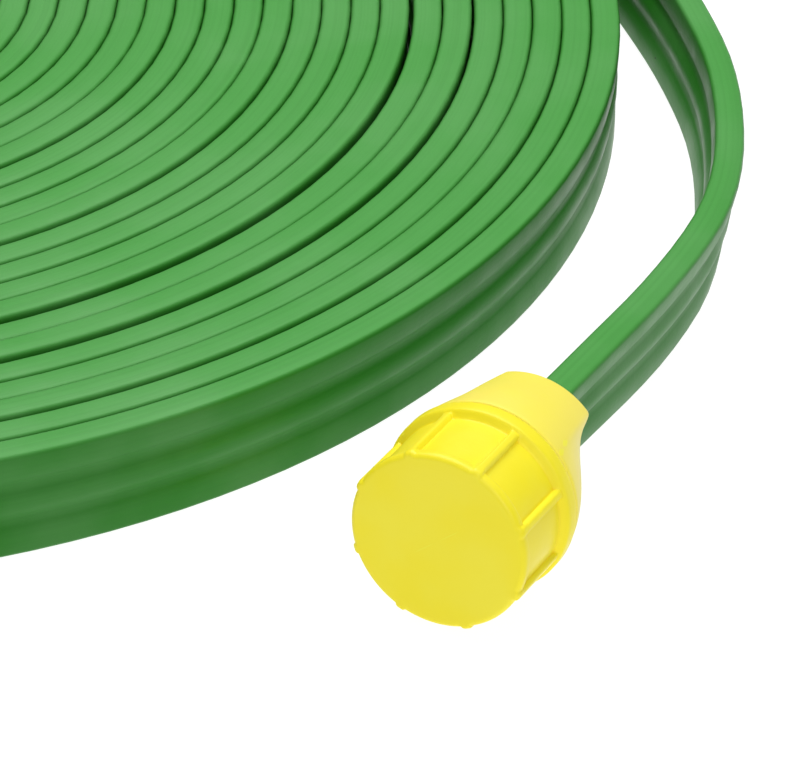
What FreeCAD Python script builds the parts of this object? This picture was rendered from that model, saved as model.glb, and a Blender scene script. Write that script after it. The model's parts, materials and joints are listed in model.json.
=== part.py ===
import FreeCAD
import Part

import math
import os

from FreeCAD import Placement, Rotation, Vector

# A flat three-channel soaker hose, wound on its edge into a one-layer coil.
# Its outer end leaves the coil and carries a screw-on cap; its inner end carries
# a swivel nut for a tap. All sizes are in millimetres and all angles in degrees.
# Plan places are measured from the coil's centre, and the floor is at z = 0.

# Hose section: a flat band of three lobes, standing on one narrow edge
hose_width = 20.2
hose_thickness = 5.1
hose_edge_radius = 1.2
valley_depth = 0.7
lobe_count = 3
channel_height = 5.0
channel_thickness = 3.0

# Coil: a spiral that grows clockwise, seen from above. Its eye leaves room for the inner
# fitting, and it has as many whole turns as fit outside that
turn_pitch = 5.7
coil_end_radius = 174.1
coil_end_angle = 132.4
coil_eye_radius = 48.0
turn_count = int((coil_end_radius - coil_eye_radius) / turn_pitch)

# Fittings: hose collar, shared by both ends
collar_length = 18.0
collar_front_radius = 16.4
collar_middle_radius = 15.2
collar_mouth_radius = 13.8
collar_corner_angle = 53.5
collar_middle_flank = 13.2
collar_mouth_corner = 8.2
collar_mouth_flank = 7.2
collar_pocket_radius = 13.0
collar_pocket_depth = 6.0
slot_clearance = 0.3
fit_clearance = 0.1
hose_grip_length = 10.4

# Hose thread, 3/4 in. with 11.5 turns to the inch
thread_pitch = 25.4 / 11.5
male_core_radius = 12.15
female_bore_radius = 13.65
thread_height = 1.2
thread_root_width = 1.25
thread_crest_width = 0.35
thread_bite = 0.15
thread_lead_in = 1.5
nut_mouth_radius = 13.95

# Connector bodies with three spigots
connector_base_length = 5.6
connector_wall = 2.8
plenum_radius = 9.0
spigot_length = 9.0
spigot_clearance = 0.2
spigot_wall = 0.7
nose_length = 13.5
tail_neck_radius = 9.6
tail_neck_length = 5.0
tail_head_radius = 12.3
tail_head_thickness = 2.4
tail_bore_radius = 7.2

# Cap and swivel nut, which share their grip
grip_radius = 15.7
grip_rib_radius = 16.35
grip_rib_width = 2.2
grip_rib_count = 8
grip_rib_phase = 34.5
grip_rib_rounding = 0.6
grip_flange_radius = 16.8
grip_flange_width = 3.0
grip_rim_radius = 1.3
cap_length = 18.6
cap_face_wall = 2.4
nut_length = 20.0
nut_seat_wall = 4.1
running_gap = 0.4
swivel_clearance = 0.3
seal_thickness = 2.5
seal_gap = 0.1
seal_side_gap = 0.5

# Seals and inlet filter
seal_bore_radius = 7.5
filter_thickness = 0.8
filter_hole_radius = 0.45
filter_hole_pitch = 1.5
filter_rim = 1.2

# End fitting's place: its cap points to the lower right of the plan
end_place_angle = -4.86
end_standoff = 43.4
end_azimuth = -73.0
end_tilt = 3.3
end_lean = 11.6
floor_gap = 0.03

# Inner end of the hose, which curls into the coil's eye and rises to its fitting
lead_radius = 29.0
lead_turn = 105.0
lead_straight = 6.0
lead_steps = 9
lead_end_shares = (0.4, 0.7, 1.0)

# Free outer end of the hose. Each point is its plan angle, how far it stands outside
# the coil's end radius, how far it is lifted off the floor, and its outward lean
tail_points = [
    (119.4, 1.7, 0.1, 0.0),
    (105.4, 2.1, 0.1, 0.0),
    (91.4, 2.6, 0.1, 0.5),
    (78.4, 3.5, 0.1, 1.0),
    (65.8, 4.6, 0.2, 2.1),
    (54.2, 6.2, 0.3, 3.6),
    (44.9, 11.5, 0.7, 5.4),
    (35.2, 18.9, 1.4, 7.2),
    (23.7, 26.5, 2.1, 9.2),
    (14.1, 29.3, 3.1, 9.2),
]
tail_end_run = 24.0
run_share = 0.45

# How far a cutting tool reaches past what it cuts
overcut = 1.0

UP = Vector(0, 0, 1)


def polar(radius, angle):
    """The plan point at that radius and angle from the coil's centre."""
    return Vector(radius * math.cos(math.radians(angle)), radius * math.sin(math.radians(angle)), 0)


# Hose section

def section_points():
    """Half the section's outline, as arcs of (start, middle, end) on its outer face."""
    half_width = hose_width / 2
    half_thick = hose_thickness / 2
    lobe = hose_width / lobe_count
    corner_drop = hose_edge_radius * (1 - math.sqrt(0.5))
    arcs = []
    for lobe_number in range(lobe_count):
        low = -half_width + lobe_number * lobe
        high = low + lobe
        start = (half_thick - valley_depth, low)
        end = (half_thick - valley_depth, high)
        middle = (half_thick, (low + high) / 2)
        if lobe_number == 0:
            start = (half_thick - corner_drop, low + hose_edge_radius)
            arcs.append(((half_thick - hose_edge_radius - corner_drop, low),
                         (half_thick - 2 * corner_drop, low + corner_drop), start))
        if lobe_number == lobe_count - 1:
            end = (half_thick - corner_drop, high - hose_edge_radius)
        arcs.append((start, middle, end))
        if lobe_number == lobe_count - 1:
            arcs.append((end, (half_thick - 2 * corner_drop, high - corner_drop),
                         (half_thick - hose_edge_radius - corner_drop, high)))
    return arcs


def section_wire(place, outward, upward):
    """The hose's outline as a wire, centred on place in the plane of outward and upward."""
    def at(point, side):
        return place + outward * (side * point[0]) + upward * point[1]

    outer = section_points()
    edges = [Part.Arc(at(a, 1), at(b, 1), at(c, 1)).toShape() for a, b, c in outer]
    edges.append(Part.makeLine(at(outer[-1][2], 1), at(outer[-1][2], -1)))
    edges += [Part.Arc(at(c, -1), at(b, -1), at(a, -1)).toShape() for a, b, c in reversed(outer)]
    edges.append(Part.makeLine(at(outer[0][0], -1), at(outer[0][0], 1)))
    return Part.Wire(edges)


def frame_at(tangent, lean):
    """Outward and upward directions of the section on a path, leaning outward."""
    along = Vector(tangent).normalize()
    level = (UP - along * UP.dot(along)).normalize()
    outward = level.cross(along)
    c, s = math.cos(math.radians(lean)), math.sin(math.radians(lean))
    return outward * c - level * s, level * c + outward * s


# Coil

def coil_radius(half_turn):
    """Centreline radius after that many half turns from the coil's inner end."""
    return coil_end_radius - turn_count * turn_pitch + half_turn * turn_pitch / 2


def coil_arcs():
    """Half-turn arcs (start, middle, end), whose centres lie a quarter pitch each side."""
    arm = polar(1, coil_end_angle)
    across = polar(1, coil_end_angle - 90)
    lift = UP * (hose_width / 2)
    arcs = []
    for k in range(2 * turn_count):
        side = 1 if k % 2 == 0 else -1
        start = arm * (side * coil_radius(k))
        end = arm * (-side * coil_radius(k + 1))
        middle = (start + end) * 0.5 + across * (side * (coil_radius(k) + coil_radius(k + 1)) / 2)
        arcs.append((start + lift, middle + lift, end + lift))
    return arcs


def least_gap(arcs, steps=24):
    """Smallest clear distance between neighbouring turns, measured on points."""
    points = []
    for a, b, c in arcs:
        curve = Part.Arc(a, b, c)
        first, last = curve.FirstParameter, curve.LastParameter
        points += [curve.value(first + (last - first) * i / steps) for i in range(steps)]
    turn = 2 * steps
    best = min(
        (points[i] - points[j]).Length
        for i in range(len(points) - turn - 2)
        for j in range(i + turn - 2, i + turn + 3)
    )
    return best - hose_thickness


def make_coil():
    arcs = coil_arcs()
    path = Part.Wire([Part.Arc(a, b, c).toShape() for a, b, c in arcs])
    outward, upward = frame_at(polar(1, coil_end_angle - 90), 0)
    pipe = Part.BRepOffsetAPI.MakePipeShell(path)
    pipe.add(section_wire(arcs[0][0], outward, upward))
    pipe.build()
    pipe.makeSolid()
    print(f"coil: {path.Length / 1000:.2f} m in {turn_count} turns,"
          f" least gap between turns {least_gap(arcs):.2f} mm")
    return pipe.shape()


# Free ends of the hose

def rounded_route(points):
    """Stations (place, tangent, index of the nearest point) on runs joined by tangent arcs."""
    stations = [(points[0], points[1] - points[0], 0.0)]
    radii = []
    length = 0.0
    here = points[0]
    for i in range(1, len(points) - 1):
        before = points[i] - points[i - 1]
        after = points[i + 1] - points[i]
        reach = run_share * min(before.Length, after.Length)
        turn = before.getAngle(after)
        start = points[i] - Vector(before).normalize() * reach
        end = points[i] + Vector(after).normalize() * reach
        radius = reach / math.tan(turn / 2)
        inward = (Vector(after).normalize() - Vector(before).normalize()).normalize()
        middle = points[i] + inward * (radius / math.cos(turn / 2) - radius)
        middle_tangent = Vector(before).normalize() + Vector(after).normalize()
        stations += [(start, before, i - reach / before.Length), (middle, middle_tangent, i),
                     (end, after, i + reach / after.Length)]
        radii.append(radius)
        length += (start - here).Length + radius * turn
        here = end
    length += (points[-1] - here).Length
    stations.append((points[-1], points[-1] - points[-2], len(points) - 1.0))
    return stations, radii, length


def band_along(stations, leans):
    """A closed solid through the hose's section at each station."""
    wires = []
    for place, tangent, index in stations:
        low = min(int(index), len(leans) - 2)
        share = index - low
        outward, upward = frame_at(tangent, leans[low] * (1 - share) + leans[low + 1] * share)
        wires.append(section_wire(place, outward, upward))
    return Part.makeLoft(wires, True, False)


def channels(place, tangent, lean, depth):
    """The three water channels, as prisms from a cut end back into the hose."""
    outward, upward = frame_at(tangent, lean)
    back = Vector(tangent).normalize() * -depth
    return [oval(place + upward * y, upward, outward, channel_height, channel_thickness, back)
            for y in lobe_heights()]


def lobe_heights():
    """Heights of the three lobes' middles above the hose's centreline."""
    return [(k - (lobe_count - 1) / 2) * hose_width / lobe_count for k in range(lobe_count)]


def oval(centre, long_way, short_way, height, thickness, depth):
    """An elliptical prism, standing on centre and reaching along the vector depth."""
    ellipse = Part.Ellipse(centre + long_way * (height / 2), centre + short_way * (thickness / 2), centre)
    return Part.Face(Part.Wire(ellipse.toShape())).extrude(depth)


def cut_channels(hose, end, tangent, lean):
    """The hose with its channels opened at the end that is gripped in a collar."""
    depth = spigot_length + fit_clearance * 2
    for prism in channels(end, tangent, lean, depth):
        hose = hose.cut(prism)
    return hose


# Fittings, made along +Z with the hose's wide way on Y, z = 0 at the grip's back

def ring(profile):
    """A solid of revolution about Z from (radius, z) corners."""
    corners = [Vector(r, 0, z) for r, z in profile]
    return Part.Face(Part.makePolygon(corners + corners[:1])).revolve(Vector(), UP, 360)


def collar_section(z, radius, corner, flank):
    """Two round caps of that radius, joined by flank arcs through flank on the X axis."""
    height = math.sqrt(radius ** 2 - corner ** 2)

    def at(x, y):
        return Vector(x, y, z)

    return Part.Wire([
        Part.Arc(at(corner, height), at(0, radius), at(-corner, height)).toShape(),
        Part.Arc(at(-corner, height), at(-flank, 0), at(-corner, -height)).toShape(),
        Part.Arc(at(-corner, -height), at(0, -radius), at(corner, -height)).toShape(),
        Part.Arc(at(corner, -height), at(flank, 0), at(corner, height)).toShape(),
    ])


def upright_edges(box):
    """The edges of a box that run along Z."""
    return [edge for edge in box.Edges if abs(edge.tangentAt(edge.FirstParameter).z) > 0.9]


def make_collar():
    """The squeezed sleeve: round at the grip, pinched to a flat mouth for the hose."""
    front = -running_gap
    mouth = -collar_length
    front_corner = collar_front_radius * math.cos(math.radians(collar_corner_angle))
    middle_corner = collar_middle_radius * math.cos(math.radians(collar_corner_angle))
    shell = Part.makeLoft([
        collar_section(front, collar_front_radius, front_corner, collar_front_radius),
        collar_section(mouth / 2, collar_middle_radius, middle_corner, collar_middle_flank),
        collar_section(mouth, collar_mouth_radius, collar_mouth_corner, collar_mouth_flank),
    ], True, False)
    pocket = Part.makeCylinder(collar_pocket_radius, collar_pocket_depth + overcut,
                               Vector(0, 0, front - collar_pocket_depth))
    slot_x = hose_thickness + 2 * slot_clearance
    slot_y = hose_width + 2 * slot_clearance
    slot = Part.makeBox(slot_x, slot_y, collar_length, Vector(-slot_x / 2, -slot_y / 2, mouth - overcut))
    slot = slot.makeFillet(hose_edge_radius, upright_edges(slot))
    return shell.cut(pocket).cut(slot)


def thread_ridge(root_radius, outward, low, high):
    """A helical ridge between two heights, rooted a little way inside its wall."""
    root = root_radius - outward * thread_bite
    crest = root_radius + outward * thread_height
    helix = Part.makeHelix(thread_pitch, high - low - thread_root_width, root_radius)
    helix.translate(UP * (low + thread_root_width / 2))
    start = low + thread_root_width / 2
    half_root, half_crest = thread_root_width / 2, thread_crest_width / 2
    corners = [Vector(root, 0, start - half_root), Vector(crest, 0, start - half_crest),
               Vector(crest, 0, start + half_crest), Vector(root, 0, start + half_root)]
    profile = Part.makePolygon(corners + corners[:1])
    pipe = Part.BRepOffsetAPI.MakePipeShell(helix)
    pipe.setFrenetMode(True)
    pipe.add(profile)
    pipe.build()
    pipe.makeSolid()
    return pipe.shape()


def add_spigots(body, back):
    """The body with three oval spigots behind it, each bored through to its plenum."""
    tip = -spigot_length
    for y in lobe_heights():
        stem = oval(Vector(0, y, back), Vector(0, 1, 0), Vector(1, 0, 0),
                    channel_height - 2 * spigot_clearance, channel_thickness - 2 * spigot_clearance,
                    UP * tip)
        body = body.fuse(stem)
    for y in lobe_heights():
        bore = oval(Vector(0, y, back + connector_wall + overcut), Vector(0, 1, 0), Vector(1, 0, 0),
                    channel_height - 2 * spigot_clearance - 2 * spigot_wall,
                    channel_thickness - 2 * spigot_clearance - 2 * spigot_wall,
                    UP * (tip - connector_wall - 2 * overcut))
        body = body.cut(bore)
    return body


def make_end_connector():
    """The outlet body: base in the collar, threaded nose for the cap, three spigots."""
    back = base_back()
    front = back + connector_base_length
    body = ring([
        (0, back), (collar_pocket_radius - fit_clearance, back),
        (collar_pocket_radius - fit_clearance, front), (male_core_radius, front),
        (male_core_radius, nose_length), (plenum_radius, nose_length),
        (plenum_radius, back + connector_wall), (0, back + connector_wall),
    ])
    body = body.fuse(thread_ridge(male_core_radius, 1, front + thread_lead_in, nose_length - thread_lead_in))
    return add_spigots(body, back)


def make_inlet_connector():
    """The inlet body: base in the collar, neck and head that the nut turns on."""
    back = base_back()
    front = back + connector_base_length
    neck_top = running_gap + nut_seat_wall + swivel_clearance
    head_top = neck_top + tail_head_thickness
    step = back + connector_wall + (connector_base_length - connector_wall) / 2
    body = ring([
        (0, back), (collar_pocket_radius - fit_clearance, back),
        (collar_pocket_radius - fit_clearance, front), (tail_neck_radius, front),
        (tail_neck_radius, neck_top), (tail_head_radius, neck_top),
        (tail_head_radius, head_top), (tail_bore_radius, head_top),
        (tail_bore_radius, step), (plenum_radius, step),
        (plenum_radius, back + connector_wall), (0, back + connector_wall),
    ])
    return add_spigots(body, back)


def base_back():
    """The height of a connector's back, on the floor of the collar's pocket."""
    return -running_gap - collar_pocket_depth + fit_clearance


def grip_shell(length):
    """The outside of the cap or nut: a flange, a round wall, and ribs along it."""
    rim = grip_rim_radius
    flange = grip_flange_width
    slope = grip_flange_radius - grip_radius
    profile = [
        Part.makeLine(Vector(0, 0, 0), Vector(grip_flange_radius, 0, 0)),
        Part.makeLine(Vector(grip_flange_radius, 0, 0), Vector(grip_flange_radius, 0, flange)),
        Part.makeLine(Vector(grip_flange_radius, 0, flange), Vector(grip_radius, 0, flange + slope / 2)),
        Part.makeLine(Vector(grip_radius, 0, flange + slope / 2), Vector(grip_radius, 0, length - rim)),
        Part.Arc(Vector(grip_radius, 0, length - rim),
                 Vector(grip_radius - rim * (1 - math.sqrt(0.5)), 0, length - rim * (1 - math.sqrt(0.5))),
                 Vector(grip_radius - rim, 0, length)).toShape(),
        Part.makeLine(Vector(grip_radius - rim, 0, length), Vector(0, 0, length)),
        Part.makeLine(Vector(0, 0, length), Vector(0, 0, 0)),
    ]
    body = Part.Face(Part.Wire(profile)).revolve(Vector(), UP, 360)
    depth = grip_rib_radius - grip_radius + overcut
    for k in range(grip_rib_count):
        rib = Part.makeBox(depth, grip_rib_width, length - rim - flange / 2,
                           Vector(grip_radius - overcut, -grip_rib_width / 2, flange / 2))
        outer = [edge for edge in upright_edges(rib) if edge.CenterOfMass.x > grip_radius]
        rib = rib.makeFillet(grip_rib_rounding, outer)
        rib.rotate(Vector(), UP, grip_rib_phase + k * 360 / grip_rib_count)
        body = body.fuse(rib)
    return body


def make_cap():
    """The end cap: a closed grip with a threaded bore and a floor for its seal."""
    floor = cap_length - cap_face_wall
    bore = Part.makeCylinder(female_bore_radius, floor + overcut, Vector(0, 0, -overcut))
    cap = grip_shell(cap_length).cut(bore)
    low = base_back() + connector_base_length + thread_lead_in + thread_pitch / 2
    return cap.fuse(thread_ridge(female_bore_radius, -1, low, nose_length - thread_lead_in))


def make_nut():
    """The swivel nut: a back wall round the neck, a seat, and the tap's thread."""
    hole = Part.makeCylinder(tail_neck_radius + swivel_clearance, nut_length + 2 * overcut,
                             Vector(0, 0, -overcut))
    seat_start = running_gap + nut_seat_wall
    seat = Part.makeCylinder(tail_head_radius + swivel_clearance, nut_length, Vector(0, 0, seat_start))
    bore = Part.makeCylinder(female_bore_radius, nut_length, Vector(0, 0, nut_thread_start()))
    mouth = Part.makeCylinder(nut_mouth_radius, nut_length, Vector(0, 0, nut_length - thread_lead_in))
    nut = grip_shell(nut_length).cut(hole).cut(seat).cut(bore).cut(mouth)
    low = nut_thread_start() + thread_lead_in
    return nut.fuse(thread_ridge(female_bore_radius, -1, low, nut_length - thread_lead_in))


def nut_thread_start():
    return nut_seal_start() + seal_thickness


def nut_seal_start():
    return running_gap + nut_seat_wall + swivel_clearance + tail_head_thickness + seal_gap


def make_seal(low, outer, bore):
    """A flat washer standing on height low."""
    return ring([(bore, low), (outer, low), (outer, low + seal_thickness), (bore, low + seal_thickness)])


def make_filter():
    """A moulded screen: a thin disc with a plain rim and rows of round holes."""
    radius = seal_bore_radius - fit_clearance
    low = nut_seal_start() + (seal_thickness - filter_thickness) / 2
    disc = Part.makeCylinder(radius, filter_thickness, Vector(0, 0, low))
    holes = []
    rows = int(radius / filter_hole_pitch) + 1
    for row in range(-rows, rows + 1):
        for column in range(-rows, rows + 1):
            x = (column + (row % 2) / 2) * filter_hole_pitch
            y = row * filter_hole_pitch * math.sqrt(0.75)
            if math.hypot(x, y) < radius - filter_rim:
                holes.append(Part.makeCylinder(filter_hole_radius, filter_thickness * 2,
                                               Vector(x, y, low - filter_thickness / 2)))
    return disc.cut(Part.makeCompound(holes))


def fitting_frame(origin, azimuth, tilt, lean):
    """The placement that takes a fitting's own axes to its place by the coil."""
    flat = polar(math.cos(math.radians(tilt)), azimuth)
    axis = Vector(flat.x, flat.y, math.sin(math.radians(tilt)))
    outward, upward = frame_at(axis, lean)
    matrix = FreeCAD.Matrix(outward.x, upward.x, axis.x, origin.x,
                            outward.y, upward.y, axis.y, origin.y,
                            outward.z, upward.z, axis.z, origin.z,
                            0, 0, 0, 1)
    return Placement(matrix), axis


def placed(shape, placement):
    copy = shape.copy()
    copy.transformShape(placement.toMatrix(), True)
    return copy


def make_end():
    """The outer fitting and the free end of the hose that it is fixed on."""
    height = grip_flange_radius * math.cos(math.radians(end_tilt)) + floor_gap
    origin = polar(coil_end_radius + end_standoff, end_place_angle) + UP * height
    placement, axis = fitting_frame(origin, end_azimuth, end_tilt, end_lean)
    seal_low = nose_length + seal_gap
    nodes = {
        "end_collar": make_collar(),
        "end_connector": make_end_connector(),
        "end_seal": make_seal(seal_low, female_bore_radius - seal_side_gap, seal_bore_radius),
        "end_cap": make_cap(),
    }
    nodes = {name: placed(shape, placement) for name, shape in nodes.items()}
    hose_end = origin + axis * (hose_grip_length - collar_length)
    points = [polar(coil_end_radius, coil_end_angle) + UP * (hose_width / 2)]
    points += [polar(coil_end_radius + standoff, angle) + UP * (hose_width / 2 + lift)
               for angle, standoff, lift, lean in tail_points]
    points += [hose_end - axis * tail_end_run, hose_end]
    leans = [0.0] + [point[-1] for point in tail_points] + [end_lean, end_lean]
    stations, radii, length = rounded_route(points)
    tail = cut_channels(band_along(stations, leans), hose_end, axis, end_lean)
    print("tail: radii", [round(r) for r in radii], f"length {length:.0f} mm")
    nodes["hose_tail"] = tail
    return nodes, origin, axis


def lead_slope():
    """The rise per length that lifts the nut's flange just clear of the floor."""
    bend = math.radians(lead_turn) * lead_radius
    rise = grip_flange_radius + floor_gap - hose_width / 2
    return rise / (bend / 2 + lead_straight + collar_length)


def lead_stations():
    """Stations from the coil's inner end round to the inlet, with the rise of a parabola."""
    centre = polar(coil_radius(0) - lead_radius, coil_end_angle)
    slope = lead_slope()
    bend = math.radians(lead_turn) * lead_radius
    gripped = lead_straight + hose_grip_length
    stations = []
    for k in range(lead_steps + 1):
        along = bend * k / lead_steps
        angle = coil_end_angle + lead_turn * k / lead_steps
        place = centre + polar(lead_radius, angle)
        heading = polar(1, angle + 90)
        steep = slope * along / bend
        rise = hose_width / 2 + slope * along ** 2 / (2 * bend)
        stations.append((place + UP * rise, heading + UP * steep))
    place, heading = stations[-1]
    for share in lead_end_shares:
        stations.append((place + heading * (gripped * share), heading))
    return stations


def make_inlet():
    """The inner fitting and the lead of hose from the coil to it."""
    stations = lead_stations()
    hose_end, heading = stations[-1]
    axis = Vector(heading).normalize()
    azimuth = math.degrees(math.atan2(axis.y, axis.x))
    origin = hose_end + axis * (collar_length - hose_grip_length)
    tilt = math.degrees(math.atan(lead_slope()))
    placement, axis = fitting_frame(origin, azimuth, tilt, 0)
    nodes = {
        "inlet_collar": make_collar(),
        "inlet_connector": make_inlet_connector(),
        "inlet_nut": make_nut(),
        "inlet_seal": make_seal(nut_seal_start(), tail_head_radius, seal_bore_radius),
        "inlet_filter": make_filter(),
    }
    nodes = {name: placed(shape, placement) for name, shape in nodes.items()}
    wires = []
    for place, tangent in stations:
        outward, upward = frame_at(tangent, 0)
        wires.append(section_wire(place, outward, upward))
    lead = Part.makeLoft(wires, True, False)
    nodes["hose_lead"] = cut_channels(lead, hose_end, axis, 0)
    return nodes, origin, axis


def main():
    end_nodes, end_origin, end_axis = make_end()
    inlet_nodes, inlet_origin, inlet_axis = make_inlet()
    nodes = {"hose_coil": make_coil(), **end_nodes, **inlet_nodes}
    box = Part.makeCompound(list(nodes.values())).optimalBoundingBox(False)
    shift = Vector(-(box.XMin + box.XMax) / 2, -(box.YMin + box.YMax) / 2, -box.ZMin)
    os.makedirs("parts", exist_ok=True)
    for name, shape in nodes.items():
        shape.translate(shift)
        shape.exportStep(f"parts/{name}.step")
        print(f"{name}: {len(shape.Solids)} solid, {len(shape.Faces)} faces,"
              f" {shape.Volume / 1000:.2f} cm3, valid {shape.isValid()}")
    for label, value in (("coil centre", shift), ("end origin", end_origin + shift), ("end axis", end_axis),
                         ("inlet origin", inlet_origin + shift), ("inlet axis", inlet_axis)):
        print(label, [round(c, 4) for c in value])
    print("box", [round(v, 2) for v in (box.XLength, box.YLength, box.ZLength)])


main()
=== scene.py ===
"""A flat green soaker hose wound on its edge into a coil, with yellow moulded fittings.

The hose is one swept surface along one smooth line. The cap, the nut and the two collars are
sheets worked out on a grid of angles and rows, each in its own fitting's axes. The connectors,
the seals and the filter come with the frame, and only get their finishes here. Lengths are in
metres, and angles in degrees unless a function turns them into radians.
"""

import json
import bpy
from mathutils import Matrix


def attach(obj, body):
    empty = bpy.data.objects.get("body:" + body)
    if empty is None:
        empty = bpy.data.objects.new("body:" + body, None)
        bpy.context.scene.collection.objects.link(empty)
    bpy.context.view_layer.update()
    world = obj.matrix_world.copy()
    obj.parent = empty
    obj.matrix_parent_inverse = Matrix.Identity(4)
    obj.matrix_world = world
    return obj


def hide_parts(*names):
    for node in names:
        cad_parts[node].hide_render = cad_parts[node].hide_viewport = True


bl_info = {
    "name": "Soaker Hose",
    "version": (1, 0, 0),
    "blender": (4, 5, 0),
    "location": "3D View > Sidebar > Soaker Hose",
    "description": "Winds a flat soaker hose and moulds its end fittings",
    "category": "Add Mesh",
}

import bmesh
import bpy
import numpy as np
from bpy.props import FloatProperty, FloatVectorProperty, IntProperty, PointerProperty
from mathutils import Matrix

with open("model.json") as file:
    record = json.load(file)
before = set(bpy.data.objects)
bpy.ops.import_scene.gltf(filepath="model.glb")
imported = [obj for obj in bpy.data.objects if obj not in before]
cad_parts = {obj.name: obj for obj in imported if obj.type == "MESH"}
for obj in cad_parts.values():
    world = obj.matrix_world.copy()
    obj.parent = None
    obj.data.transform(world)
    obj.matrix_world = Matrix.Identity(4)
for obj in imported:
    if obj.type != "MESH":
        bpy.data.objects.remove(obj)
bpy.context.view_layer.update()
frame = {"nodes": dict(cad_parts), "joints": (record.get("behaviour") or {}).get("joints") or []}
joints = {joint["name"]: joint for joint in frame["joints"]}

MM = 0.001
UP = np.array([0.0, 0.0, 1.0])

# Free outer end of the hose. Each point is its plan angle in degrees, how far it stands
# outside the coil's end radius, how far it is lifted off the floor, and its outward lean
TAIL_POINTS = (
    (119.4, 0.0017, 0.0001, 0.0),
    (105.4, 0.0021, 0.0001, 0.0),
    (91.4, 0.0026, 0.0001, 0.5),
    (78.4, 0.0035, 0.0001, 1.0),
    (65.8, 0.0046, 0.0002, 2.1),
    (54.2, 0.0062, 0.0003, 3.6),
    (44.9, 0.0115, 0.0007, 5.4),
    (35.2, 0.0189, 0.0014, 7.2),
    (23.7, 0.0265, 0.0021, 9.2),
    (14.1, 0.0293, 0.0031, 9.2),
)

# The outer fitting's plan angle, and its distance outside the coil's end radius
END_PLACE_ANGLE = -4.86
END_STANDOFF = 43.4 * MM

# Outward lean of the hose's section in each fitting, in degrees
END_LEAN = 11.6
INLET_LEAN = 0.0

# Loosely wound places: turns counted from the outside, and the extra gap inside each
LOOSE_GAPS = ((5, 0.0004), (7, 0.0008))

# Turns that stand a little proud and hide the groove behind them, and by how much
PROUD_TURNS = ((3, 0.0005), (6, 0.0006), (8, 0.0004), (12, 0.0005), (16, 0.0004))

# Gap between a collar's front and the back of the grip that turns before it
RUNNING_GAP = 0.4 * MM

# Distance between the hose's sections, and columns of a moulded sheet once round its axis
SECTION_SPACING = 7 * MM
SHEET_COLUMNS = 360

WHITE = (1.0, 1.0, 1.0, 1.0)


class HoseSizes(bpy.types.PropertyGroup):
    """Sizes and colours of the flat hose and its coil."""

    width: FloatProperty(
        name="Width", description="Height of the band on its edge", default=20.2 * MM, unit="LENGTH")
    thickness: FloatProperty(
        name="Thickness", description="Across the lobes", default=5.54 * MM, unit="LENGTH")
    edge_radius: FloatProperty(
        name="Edge radius", description="Rounding of the narrow edges", default=0.85 * MM, unit="LENGTH")
    groove_depth: FloatProperty(
        name="Groove depth", description="Depth of the grooves between the lobes", default=1.1 * MM,
        unit="LENGTH")
    groove_spread: FloatProperty(
        name="Groove spread", description="Half width of a groove", default=1.5 * MM, unit="LENGTH")
    gauge: FloatProperty(
        name="Gauge", description="Diameter given for it as a round cord, between thickness and width",
        default=16.8 * MM, unit="LENGTH")
    turn_count: IntProperty(name="Turns", description="Turns in the coil", default=22, min=1)
    turn_pitch: FloatProperty(
        name="Pitch", description="Mean growth of the coil's radius in a turn", default=5.683 * MM,
        unit="LENGTH")
    end_radius: FloatProperty(
        name="End radius", description="Radius where the free end leaves the coil", default=174.1 * MM,
        unit="LENGTH")
    end_angle: FloatProperty(
        name="End angle", description="Plan angle in degrees where the free end leaves", default=132.4)
    lead_radius: FloatProperty(
        name="Lead radius", description="Bend of the inner end towards its fitting", default=29.0 * MM,
        unit="LENGTH")
    lead_turn: FloatProperty(
        name="Lead turn", description="Degrees that the inner end bends through", default=105.0)
    lead_straight: FloatProperty(
        name="Lead straight", description="Straight run before the inlet's collar", default=6.0 * MM,
        unit="LENGTH")
    grip_length: FloatProperty(
        name="Grip length", description="How far the hose reaches into a collar", default=11.4 * MM,
        unit="LENGTH")
    length: FloatProperty(
        name="Length", description="Whole length of the hose", default=15.88, unit="LENGTH")
    green: FloatVectorProperty(
        name="Green", description="Colour of the hose", subtype="COLOR", default=(0.078, 0.33, 0.068))
    # Painted shade: the hose's wide faces are coloured a deeper green than its narrow edges, for the
    # shade that falls on them.
    shade_green: FloatVectorProperty(
        name="Shade green", description="Colour of the hose's wide faces", subtype="COLOR",
        default=(0.027, 0.192, 0.018))


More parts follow.
